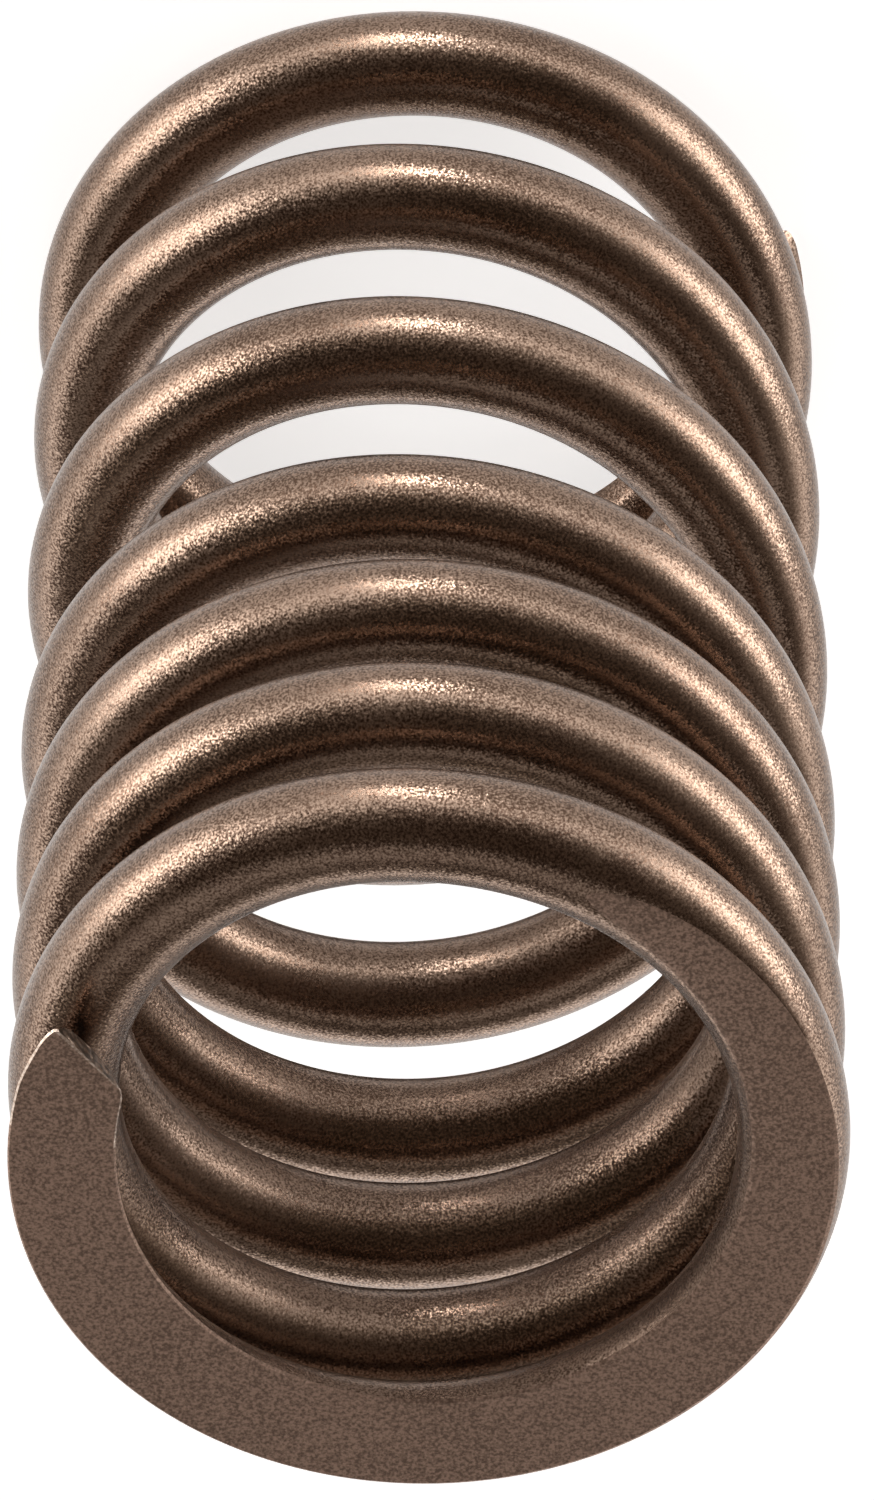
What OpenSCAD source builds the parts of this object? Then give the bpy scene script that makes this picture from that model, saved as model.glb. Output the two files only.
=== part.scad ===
// Engine valve spring: one round wire, wound left-handed in two stages, with closed and ground ends.
// Millimetres. The spring stands on the end of its open-wound stage. The lower ground face is z = 0,
// the coil axis is the z axis and the close-wound stage is at the top.

/* [Wire and coil] */
// Diameter of the wire
wire_d = 4; // [3.4:0.1:4.6]
// Outside diameter of the coils
coil_od = 30; // [27:0.5:34]
// Free length, from one ground face to the other
free_length = 53.4; // [50:0.1:58]
// Turns of wire from tip to tip
total_turns = 7.59; // [7.4:0.01:7.9]
// Direction of the upper tip about the axis, in degrees from +X
tip_azimuth = 339; // [0:1:359]

/* [Pitch] */
// Fall of one turn in the close-wound stage
close_pitch = 6.23; // [5.6:0.01:6.8]
// Turns from the upper tip to the change of pitch
close_turns = 3.74; // [3.3:0.01:4.1]
// Turns taken by the change of pitch
stage_blend = 0.25; // [0.1:0.01:0.6]

/* [Upper closed end] */
// Fall per turn along the upper closed turn
upper_pitch = 3.6; // [3.2:0.1:4]
// Turns of the upper closed turn
upper_closed = 0.8; // [0.7:0.01:0.86]
// Turns taken to leave the upper closed turn
upper_blend = 0.25; // [0.15:0.01:0.28]
// Clear gap between the upper tip and the turn below it
upper_gap = 0.45; // [0.1:0.05:0.8]
// Thickness left at the upper tip after grinding
upper_tip = 1.32; // [1:0.01:1.6]

/* [Lower closed end] */
// Fall per turn along the lower closed turn
lower_pitch = 4.2; // [3.6:0.1:4.4]
// Turns of the lower closed turn
lower_closed = 0.99; // [0.9:0.01:1.05]
// Turns taken to leave the lower closed turn
lower_blend = 0.45; // [0.35:0.01:0.6]
// Clear gap between the lower tip and the turn above it
lower_gap = 0.75; // [0.3:0.05:0.9]
// Thickness left at the lower tip after grinding
lower_tip = 1.1; // [0.9:0.01:1.6]

/* [Cut tips] */
// Angle between the cut end of the wire and a radius of the coil
cut_skew = 28; // [0:1:40]
// Amount by which the cut draws in the surface of the wire
cut_inset = 0.3; // [0.1:0.05:0.5]
// Length of wire drawn in by the cut
cut_run = 0.9; // [0.5:0.1:1.5]

/* [Smoothness] */
// Flats around the wire
wire_sides = 18; // [12:2:18]
// Flats along one turn
turn_steps = 40; // [24:2:40]

/* [Hidden] */
wire_r = wire_d / 2;
mean_r = (coil_od - wire_d) / 2;
steps = round(total_turns * turn_steps);
// The wire's centre stands this far outside the ground face at each tip.
upper_rise = wire_r - upper_tip;
lower_rise = wire_r - lower_tip;
// Turns over which the skew of a cut end fades into the wire
skew_fade = 0.07;
cut_turns = cut_run / (2 * PI * mean_r);
slope_step = 0.002;
full_turn = 360;
half_turn = 180;

// Fall, beyond a blend's width, of a pitch that grows smoothly from 0 to 1 across the blend
function ramp(turns, at, blend) =
    let (u = (turns - at) / blend + 0.5)
    blend * (u <= 0 ? 0 : u >= 1 ? u - 0.5 : pow(u, 3) - pow(u, 4) / 2);

// A smooth step from 0 to 1 across a blend
function lift(turns, at, blend) =
    let (u = max(-0.5, min(0.5, (turns - at) / blend)))
    u + 0.5 + sin(full_turn * u) / (2 * PI);

// Each closed turn falls by one wire and its gap before it lies beside the next turn.
upper_lift = wire_d + upper_gap - upper_pitch
    - (close_pitch - upper_pitch) * ramp(1, upper_closed, upper_blend);
lower_ramp = ramp(1, lower_closed, lower_blend);
// The open stage takes up what is left of the free length.
open_pitch = (free_length + upper_rise + lower_rise - upper_pitch * upper_closed
    - lower_pitch * lower_closed - close_pitch * (close_turns - upper_closed) - upper_lift
    - (wire_d + lower_gap - lower_pitch * (1 - lower_ramp)))
    / (total_turns - close_turns - lower_closed - lower_ramp);
lower_lift = wire_d + lower_gap - lower_pitch - (open_pitch - lower_pitch) * lower_ramp;
lower_start = total_turns - lower_closed;

// Height of the wire's centre at a number of turns from the upper tip
function height(turns) = free_length + upper_rise - upper_pitch * turns
    - (close_pitch - upper_pitch) * ramp(turns, upper_closed, upper_blend)
    - (open_pitch - close_pitch) * ramp(turns, close_turns, stage_blend)
    - (lower_pitch - open_pitch) * ramp(turns, lower_start, lower_blend)
    - upper_lift * lift(turns, upper_closed, upper_blend)
    - lower_lift * lift(turns, lower_start, lower_blend);

// Half the height of the wire's upright section, which grows with the slope of the helix
function rise_r(turns) =
    let (slope = (height(turns - slope_step) - height(turns + slope_step)) / (2 * slope_step))
    sqrt(1 + pow(slope / (2 * PI * mean_r), 2));

// Share of the cut's skew at a number of turns, 1 at the upper tip and -1 at the lower one
function skew_share(turns) =
    max(0, 1 - turns / skew_fade) - max(0, 1 - (total_turns - turns) / skew_fade);

// One section of the wire. The outer side of a cut end reaches further along the wire.
function section(turns, r) = [
    for (i = [0 : wire_sides - 1])
        let (
            a = full_turn * (i + 0.5) / wire_sides,
            out = r * cos(a),
            swing = out * tan(cut_skew) * skew_share(turns) / mean_r * half_turn / PI,
            azimuth = tip_azimuth + full_turn * turns - swing
        )
        [(mean_r + out) * cos(azimuth), (mean_r + out) * sin(azimuth), height(turns) + r * rise_r(turns) * sin(a)]
];

function axis_point(turns) =
    let (azimuth = tip_azimuth + full_turn * turns)
    [mean_r * cos(azimuth), mean_r * sin(azimuth), height(turns)];

stations = concat(
    [[0, wire_r - cut_inset], [cut_turns, wire_r]],
    [for (i = [1 : steps - 1]) [total_turns * i / steps, wire_r]],
    [[total_turns - cut_turns, wire_r], [total_turns, wire_r - cut_inset]]
);

// The wire before grinding: a tube through all the sections, with a cap on each cut end
module wound_wire() {
    rings = len(stations);
    first_cap = rings * wire_sides;
    points = concat(
        [for (s = stations) each section(s[0], s[1])],
        [axis_point(0), axis_point(total_turns)]
    );
    sides = [
        for (k = [0 : rings - 2], i = [0 : wire_sides - 1])
            let (j = (i + 1) % wire_sides, a = k * wire_sides, b = a + wire_sides)
            each [[a + i, a + j, b + j], [a + i, b + j, b + i]]
    ];
    caps = [
        for (i = [0 : wire_sides - 1])
            let (j = (i + 1) % wire_sides, b = (rings - 1) * wire_sides)
            each [[first_cap, j, i], [first_cap + 1, b + i, b + j]]
    ];
    polyhedron(points = points, faces = concat(sides, caps), convexity = 10);
}

// Grinding leaves only what lies between the two faces.
module spring_wire() {
    color([0.42, 0.35, 0.29])
        intersection() {
            wound_wire();
            translate([-coil_od, -coil_od, 0])
                cube([2 * coil_od, 2 * coil_od, free_length]);
        }
}

spring_wire();
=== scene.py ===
import math

import bmesh
import bpy
import numpy as np
from mathutils import Matrix, Vector


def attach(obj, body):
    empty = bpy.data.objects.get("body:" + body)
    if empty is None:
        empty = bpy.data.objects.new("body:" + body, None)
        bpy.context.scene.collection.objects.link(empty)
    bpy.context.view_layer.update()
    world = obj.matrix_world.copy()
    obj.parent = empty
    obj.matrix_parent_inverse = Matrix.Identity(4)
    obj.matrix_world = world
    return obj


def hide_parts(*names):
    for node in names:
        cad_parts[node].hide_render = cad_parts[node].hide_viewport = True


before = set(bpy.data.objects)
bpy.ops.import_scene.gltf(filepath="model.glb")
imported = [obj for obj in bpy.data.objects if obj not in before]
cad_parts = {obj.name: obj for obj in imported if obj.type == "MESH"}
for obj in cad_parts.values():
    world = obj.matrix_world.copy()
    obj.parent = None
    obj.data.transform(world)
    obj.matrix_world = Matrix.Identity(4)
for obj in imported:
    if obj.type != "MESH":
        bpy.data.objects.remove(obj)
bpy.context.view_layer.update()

# Sizes of the spring, in metres, as in the part's source
WIRE_R = 0.002
MEAN_R = 0.013
FREE_LENGTH = 0.0534
TOTAL_TURNS = 7.59
TIP_AZIMUTH = math.radians(339)
CLOSE_PITCH = 0.00623
CLOSE_TURNS = 3.74
STAGE_BLEND = 0.25
UPPER_PITCH, UPPER_CLOSED, UPPER_BLEND, UPPER_GAP = 0.0036, 0.80, 0.25, 0.00045
LOWER_PITCH, LOWER_CLOSED, LOWER_BLEND, LOWER_GAP = 0.0042, 0.99, 0.45, 0.00075
UPPER_RISE = WIRE_R - 0.00132
LOWER_RISE = WIRE_R - 0.0011
CUT_SKEW = math.tan(math.radians(28))
CUT_INSET = 0.0003
CUT_RUN = 0.0009
SKEW_FADE = 0.07
# The outer corner of the upper tip is drawn in by this share of the radius, over this much wire.
CORNER_SHARE = 0.17
CORNER_RUN = 0.0022

# Fineness of the visible mesh: steps along one turn, sides of the wire, rings of each rounded cut end,
# and the room beyond those rings, as a share of their run
TURN_STEPS = 180
WIRE_SIDES = 56
CUT_RINGS = 9
RING_ROOM = 1.3
# Small break along the edges of the ground faces, and the most of a narrow face's half width that it takes
EDGE_BREAK = 0.00009
BREAK_SHARE = 0.45
# Rings beside a tip whose break takes the lighter edge finish, which is partly worn bare steel and partly a
# painted highlight along the edge
WEAR_AND_GLINT_RINGS = 14
# Turns to each side over which the slope of the helix is measured
SLOPE_STEP = 0.002
MERGE_DISTANCE = 1e-7
SHARP_ANGLE = math.radians(24)

# Finishes, in the order of the mesh's material numbers: name, dark colour, light colour,
# least and greatest roughness, scale of the grain, and how far the grain tilts the surface
WIRE_FINISH, GROUND_FINISH, CUT_FINISH, WEAR_AND_GLINT_FINISH = range(4)
FINISHES = (
    ("peened_wire", (0.088, 0.053, 0.036), (0.29, 0.203, 0.152), (0.24, 0.30), 11000, 0.46),
    ("ground_face", (0.165, 0.110, 0.083), (0.36, 0.245, 0.188), (0.46, 0.56), 9000, 0.5),
    ("cut_end", (0.10, 0.07, 0.052), (0.42, 0.31, 0.24), (0.40, 0.50), 3500, 1.6),
    # The edge finish's lighter colours are partly worn bare steel and partly a painted highlight along the
    # edge.
    ("wear_and_glint_edge", (0.30, 0.22, 0.17), (0.60, 0.49, 0.41), (0.30, 0.40), 9000, 0.8),
)
GRAIN_DETAIL = 1
# Broad clouding of the colour, and its share beside the grain
CLOUD_SCALE = 160
CLOUD_DETAIL = 4
CLOUD_SHARE = 0.2
# Values of the noise between which the colour and the roughness go from one end to the other
COLOUR_SPAN = (0.38, 0.62)
ROUGHNESS_SPAN = (0.3, 0.7)
NOISE_CENTRE = (0.5, 0.5, 0.5)

# Soft panels: name, azimuth from the front in degrees, distance, height, size and radiance
PANELS = (
    ("left_panel", 66, 0.20, 0.050, (0.11, 0.10), 4.6),
    ("right_panel", -70, 0.20, 0.036, (0.14, 0.08), 5.2),
    ("front_panel", 7, 0.14, 0.004, (0.03, 0.03), 23),
    ("back_panel", 180, 0.24, 0.57, (0.9, 0.34), 0.55),
)
# Colour of the surroundings against the sine of the angle above the horizon, warm and dim overhead
SKY = (
    (0.0, (1.0, 1.0, 1.0)),
    (0.15, (0.85, 0.85, 0.85)),
    (0.4, (0.150, 0.135, 0.120)),
    (0.7, (0.040, 0.030, 0.023)),
    (1.0, (0.038, 0.028, 0.021)),
)
SKY_STRENGTH = 2.6

# Floor: half its side, its colour and roughness, and the light that lifts it to white
FLOOR_HALF_SIDE = 3.0
FLOOR_COLOUR = (0.9, 0.9, 0.9, 1)
FLOOR_ROUGHNESS = 0.15
FLOOR_LIFT = 0.65

# Camera, fitted to the photograph: the angle of its line of sight to the coil axis, its roll, its distance,
# its aim beside the axis and below the upper face, and its focal length in pixels of the photograph
CAMERA_TILT = math.radians(36.465)
CAMERA_ROLL = math.radians(0.34)
CAMERA_DISTANCE = 34.546 * MEAN_R
AIM_SIDE = -0.0303 * MEAN_R
AIM_DROP = 1.8843 * MEAN_R
FOCAL_PIXELS = 12116.4
PICTURE_HEIGHT = 1500
SENSOR_HEIGHT = 36
CLIP_NEAR, CLIP_FAR = 0.01, 20


def ramp(turns, at, blend):
    """Fall, beyond a blend's width, of a pitch that grows smoothly from 0 to 1 across the blend."""
    u = np.maximum((turns - at) / blend + 0.5, 0)
    return blend * np.where(u >= 1, u - 0.5, u**3 - u**4 / 2)


def lift(turns, at, blend):
    """A smooth step from 0 to 1 across a blend."""
    u = np.clip((turns - at) / blend, -0.5, 0.5)
    return u + 0.5 + np.sin(2 * np.pi * u) / (2 * np.pi)


UPPER_RAMP = float(ramp(1, UPPER_CLOSED, UPPER_BLEND))
UPPER_LIFT = 2 * WIRE_R + UPPER_GAP - UPPER_PITCH - (CLOSE_PITCH - UPPER_PITCH) * UPPER_RAMP
LOWER_RAMP = float(ramp(1, LOWER_CLOSED, LOWER_BLEND))
OPEN_PITCH = (
    FREE_LENGTH
    + UPPER_RISE
    + LOWER_RISE
    - UPPER_PITCH * UPPER_CLOSED
    - LOWER_PITCH * LOWER_CLOSED
    - CLOSE_PITCH * (CLOSE_TURNS - UPPER_CLOSED)
    - UPPER_LIFT
    - (2 * WIRE_R + LOWER_GAP - LOWER_PITCH * (1 - LOWER_RAMP))
) / (TOTAL_TURNS - CLOSE_TURNS - LOWER_CLOSED - LOWER_RAMP)
LOWER_LIFT = 2 * WIRE_R + LOWER_GAP - LOWER_PITCH - (OPEN_PITCH - LOWER_PITCH) * LOWER_RAMP
LOWER_START = TOTAL_TURNS - LOWER_CLOSED


def height(turns):
    """Height of the wire's centre at a number of turns from the upper tip."""
    return (
        FREE_LENGTH
        + UPPER_RISE
        - UPPER_PITCH * turns
        - (CLOSE_PITCH - UPPER_PITCH) * ramp(turns, UPPER_CLOSED, UPPER_BLEND)
        - (OPEN_PITCH - CLOSE_PITCH) * ramp(turns, CLOSE_TURNS, STAGE_BLEND)
        - (LOWER_PITCH - OPEN_PITCH) * ramp(turns, LOWER_START, LOWER_BLEND)
        - UPPER_LIFT * lift(turns, UPPER_CLOSED, UPPER_BLEND)
        - LOWER_LIFT * lift(turns, LOWER_START, LOWER_BLEND)
    )


def stations():
    """Turns and wire radius at each ring. A cut end draws the surface in by a quarter round."""
    cut = CUT_RUN / (2 * math.pi * MEAN_R)
    lead = []
    for share in np.linspace(0, 1, CUT_RINGS):
        lead.append((cut * share, WIRE_R - CUT_INSET * (1 - math.sqrt(1 - (1 - share) ** 2))))
    room = cut * RING_ROOM
    inner = np.arange(1, round(TOTAL_TURNS * TURN_STEPS)) / TURN_STEPS
    inner = inner[(inner > room) & (inner < TOTAL_TURNS - room)]
    rings = lead + [(t, WIRE_R) for t in inner] + [(TOTAL_TURNS - t, r) for t, r in reversed(lead)]
    return np.array(rings).T


def section(radius, tall, centre):
    """Steps out and up from the wire's centre to the points of one ring. Where a ground face cuts the ring
    the ring is flat, with a small break along each edge."""
    ends = []
    for face, sign in ((0, -1), (FREE_LENGTH, 1)):
        level = (face - centre) / tall
        cut = abs(level) < 1
        angle = math.asin(max(-1.0, min(1.0, level)))
        half = radius * math.cos(angle)
        edge = min(EDGE_BREAK, BREAK_SHARE * half) if cut else 0.0
        ends.append((angle - sign * edge / radius, half - edge, level * tall if cut else sign * tall))
    (low, low_half, low_z), (top, top_half, top_z) = ends
    arc = [(radius * math.cos(a), tall * math.sin(a)) for a in np.linspace(low, top, WIRE_SIDES // 2)]
    outer = [(low_half, low_z)] + arc + [(top_half, top_z)]
    return np.array(outer + [(-x, z) for x, z in reversed(outer)])


def build_spring():
    """One piece: the peened wire with its ground faces, cut ends, and edges near the tips that are lighter
    partly as worn steel and partly as a painted highlight.
    """
    turns, radius = stations()
    centre = height(turns)
    slope = (height(turns - SLOPE_STEP) - height(turns + SLOPE_STEP)) / (2 * SLOPE_STEP)
    tall = radius * np.sqrt(1 + (slope / (2 * math.pi * MEAN_R)) ** 2)
    skew = np.maximum(0, 1 - turns / SKEW_FADE) - np.maximum(0, 1 - (TOTAL_TURNS - turns) / SKEW_FADE)
    azimuth = TIP_AZIMUTH + 2 * math.pi * turns
    corner = 1 - CORNER_SHARE * np.maximum(0, 1 - turns * 2 * math.pi * MEAN_R / CORNER_RUN)
    bm = bmesh.new()
    grid = []
    for k in range(len(turns)):
        out, up = section(radius[k], tall[k], centre[k]).T
        phi = azimuth[k] - out * CUT_SKEW * skew[k] / MEAN_R
        reach = MEAN_R + np.where(out > 0, out * corner[k], out)
        grid.append([bm.verts.new(p) for p in zip(reach * np.cos(phi), reach * np.sin(phi), centre[k] + up)])
    sides = len(grid[0])
    half = sides // 2
    flats = (half - 1, sides - 1)
    breaks = (0, half - 2, half, sides - 2)
    for k, (ring, after) in enumerate(zip(grid, grid[1:])):
        at_tip = min(k, len(grid) - 2 - k)
        for i in range(sides):
            j = (i + 1) % sides
            face = bm.faces.new((ring[i], ring[j], after[j], after[i]))
            # Breaks near a tip and the tips' own flats take the edge finish, lighter partly as wear and
            # partly as a painted highlight.
            if i in breaks and at_tip < WEAR_AND_GLINT_RINGS or i in flats and at_tip == 0:
                face.material_index = WEAR_AND_GLINT_FINISH
            elif i in flats or i in breaks:
                face.material_index = GROUND_FINISH
            else:
                face.material_index = WIRE_FINISH
    for ring in (grid[0][::-1], grid[-1]):
        bm.faces.new(ring).material_index = CUT_FINISH
    bmesh.ops.remove_doubles(bm, verts=bm.verts, dist=MERGE_DISTANCE)
    bmesh.ops.recalc_face_normals(bm, faces=bm.faces)
    mesh = bpy.data.meshes.new("spring")
    bm.to_mesh(mesh)
    bm.free()
    obj = bpy.data.objects.new("spring", mesh)
    bpy.context.scene.collection.objects.link(obj)
    return obj


def shade(obj):
    mesh = obj.data
    mesh.polygons.foreach_set("use_smooth", [True] * len(mesh.polygons))
    mesh.set_sharp_from_angle(angle=SHARP_ANGLE)


def new_material(name):
    material = bpy.data.materials.new(name)
    material.use_nodes = True
    tree = material.node_tree
    tree.nodes.clear()
    return material, tree.nodes, tree.links


def noise(nodes, links, coords, scale, detail):
    node = nodes.new("ShaderNodeTexNoise")
    node.inputs["Scale"].default_value = scale
    node.inputs["Detail"].default_value = detail
    links.new(coords.outputs["Object"], node.inputs["Vector"])
    return node


def vector_math(nodes, links, operation, first, second):
    """One vector step. The second value is a socket or a constant."""
    node = nodes.new("ShaderNodeVectorMath")
    node.operation = operation
    links.new(first, node.inputs[0])
    if operation == "SCALE":
        node.inputs["Scale"].default_value = second
    elif isinstance(second, tuple):
        node.inputs[1].default_value = second
    else:
        links.new(second, node.inputs[1])
    return node.outputs["Vector"]


def metal(name, dark, light, roughness, grain_scale, tilt):
    """Steel mottled between two colours. Its grain tilts the surface at random, as fine peening does."""
    material, nodes, links = new_material(name)
    out = nodes.new("ShaderNodeOutputMaterial")
    bsdf = nodes.new("ShaderNodeBsdfPrincipled")
    links.new(bsdf.outputs["BSDF"], out.inputs["Surface"])
    bsdf.inputs["Metallic"].default_value = 1.0
    coords = nodes.new("ShaderNodeTexCoord")
    grain = noise(nodes, links, coords, grain_scale, GRAIN_DETAIL)
    cloud = noise(nodes, links, coords, CLOUD_SCALE, CLOUD_DETAIL)
    both = nodes.new("ShaderNodeMix")
    both.data_type = "FLOAT"
    both.inputs["Factor"].default_value = CLOUD_SHARE
    links.new(grain.outputs["Fac"], both.inputs["A"])
    links.new(cloud.outputs["Fac"], both.inputs["B"])
    tint = nodes.new("ShaderNodeValToRGB")
    for stop, place, colour in zip(tint.color_ramp.elements, COLOUR_SPAN, (dark, light)):
        stop.position = place
        stop.color = (*colour, 1)
    links.new(both.outputs["Result"], tint.inputs["Fac"])
    links.new(tint.outputs["Color"], bsdf.inputs["Base Color"])
    rough = nodes.new("ShaderNodeMapRange")
    for socket, value in zip(("From Min", "From Max", "To Min", "To Max"), (*ROUGHNESS_SPAN, *roughness)):
        rough.inputs[socket].default_value = value
    links.new(cloud.outputs["Fac"], rough.inputs["Value"])
    links.new(rough.outputs["Result"], bsdf.inputs["Roughness"])
    surface = nodes.new("ShaderNodeNewGeometry")
    centred = vector_math(nodes, links, "SUBTRACT", grain.outputs["Color"], NOISE_CENTRE)
    lean = vector_math(nodes, links, "SCALE", centred, tilt)
    tilted = vector_math(nodes, links, "ADD", lean, surface.outputs["Normal"])
    normal = nodes.new("ShaderNodeVectorMath")
    normal.operation = "NORMALIZE"
    links.new(tilted, normal.inputs[0])
    links.new(normal.outputs["Vector"], bsdf.inputs["Normal"])
    return material


spring = build_spring()
shade(spring)
for finish in FINISHES:
    spring.data.materials.append(metal(*finish))
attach(spring, "root")
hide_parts("spring_wire")


def floor():
    """A white floor. The camera and the metal see it lifted to white, with a soft shadow left on it."""
    side = FLOOR_HALF_SIDE
    corners = [(-side, -side, 0), (side, -side, 0), (side, side, 0), (-side, side, 0)]
    mesh = bpy.data.meshes.new("floor")
    mesh.from_pydata(corners, [], [(0, 1, 2, 3)])
    obj = bpy.data.objects.new("floor", mesh)
    bpy.context.scene.collection.objects.link(obj)
    material, nodes, links = new_material("floor_white")
    out = nodes.new("ShaderNodeOutputMaterial")
    bsdf = nodes.new("ShaderNodeBsdfPrincipled")
    bsdf.inputs["Base Color"].default_value = FLOOR_COLOUR
    bsdf.inputs["Roughness"].default_value = FLOOR_ROUGHNESS
    bsdf.inputs["Emission Color"].default_value = (1, 1, 1, 1)
    path = nodes.new("ShaderNodeLightPath")
    seen = nodes.new("ShaderNodeMath")
    seen.operation = "MAXIMUM"
    links.new(path.outputs["Is Camera Ray"], seen.inputs[0])
    links.new(path.outputs["Is Glossy Ray"], seen.inputs[1])
    share = nodes.new("ShaderNodeMath")
    share.operation = "MULTIPLY"
    share.inputs[1].default_value = FLOOR_LIFT
    links.new(seen.outputs[0], share.inputs[0])
    links.new(share.outputs[0], bsdf.inputs["Emission Strength"])
    links.new(bsdf.outputs["BSDF"], out.inputs["Surface"])
    mesh.materials.append(material)


floor()


def panel(name, azimuth, distance, rise, size, radiance):
    """A soft panel that faces the spring's upper end. Azimuth runs from the front, in degrees."""
    data = bpy.data.lights.new(name, "AREA")
    data.shape = "RECTANGLE"
    data.size, data.size_y = size
    data.energy = radiance * math.pi * size[0] * size[1]
    obj = bpy.data.objects.new(name, data)
    turn = math.radians(azimuth)
    place = Vector((math.sin(turn) * distance, -math.cos(turn) * distance, rise))
    obj.location = place
    obj.rotation_euler = (Vector((0, 0, FREE_LENGTH)) - place).to_track_quat("-Z", "Y").to_euler()
    obj.visible_camera = False
    bpy.context.scene.collection.objects.link(obj)


def studio():
    """Soft light all round the horizon under a dim, warm ceiling, and four soft panels."""
    world = bpy.data.worlds.new("studio")
    bpy.context.scene.world = world
    world.use_nodes = True
    nodes, links = world.node_tree.nodes, world.node_tree.links
    background = nodes["Background"]
    coords = nodes.new("ShaderNodeTexCoord")
    split = nodes.new("ShaderNodeSeparateXYZ")
    links.new(coords.outputs["Generated"], split.inputs["Vector"])
    level = nodes.new("ShaderNodeValToRGB")
    level.color_ramp.interpolation = "EASE"
    stops = level.color_ramp.elements
    for place, colour in SKY[1:-1]:
        stops.new(place)
    for stop, (place, colour) in zip(stops, SKY):
        stop.position = place
        stop.color = (*colour, 1)
    links.new(split.outputs["Z"], level.inputs["Fac"])
    links.new(level.outputs["Color"], background.inputs["Color"])
    background.inputs["Strength"].default_value = SKY_STRENGTH
    for soft_panel in PANELS:
        panel(*soft_panel)


studio()


# The photograph looks at the close-wound end, with the far end at the top of the picture.
# The spring stands upright here, so the camera looks down from the front, rolled half round.
def camera():
    towards = Vector((0, -math.sin(CAMERA_TILT), math.cos(CAMERA_TILT)))
    level_up = Vector((0, -math.cos(CAMERA_TILT), -math.sin(CAMERA_TILT)))
    level_right = Vector((-1, 0, 0))
    up = level_up * math.cos(CAMERA_ROLL) + level_right * math.sin(CAMERA_ROLL)
    right = level_right * math.cos(CAMERA_ROLL) - level_up * math.sin(CAMERA_ROLL)
    aim = Vector((AIM_SIDE, 0, FREE_LENGTH - AIM_DROP))
    data = bpy.data.cameras.new("camera")
    data.sensor_fit = "VERTICAL"
    data.sensor_height = SENSOR_HEIGHT
    data.lens = FOCAL_PIXELS / PICTURE_HEIGHT * SENSOR_HEIGHT
    data.clip_start = CLIP_NEAR
    data.clip_end = CLIP_FAR
    obj = bpy.data.objects.new("camera", data)
    matrix = Matrix((right, up, towards)).transposed().to_4x4()
    matrix.translation = aim + towards * CAMERA_DISTANCE
    obj.matrix_world = matrix
    bpy.context.scene.collection.objects.link(obj)
    bpy.context.scene.camera = obj


camera()
bpy.context.scene.view_settings.view_transform = "Standard"
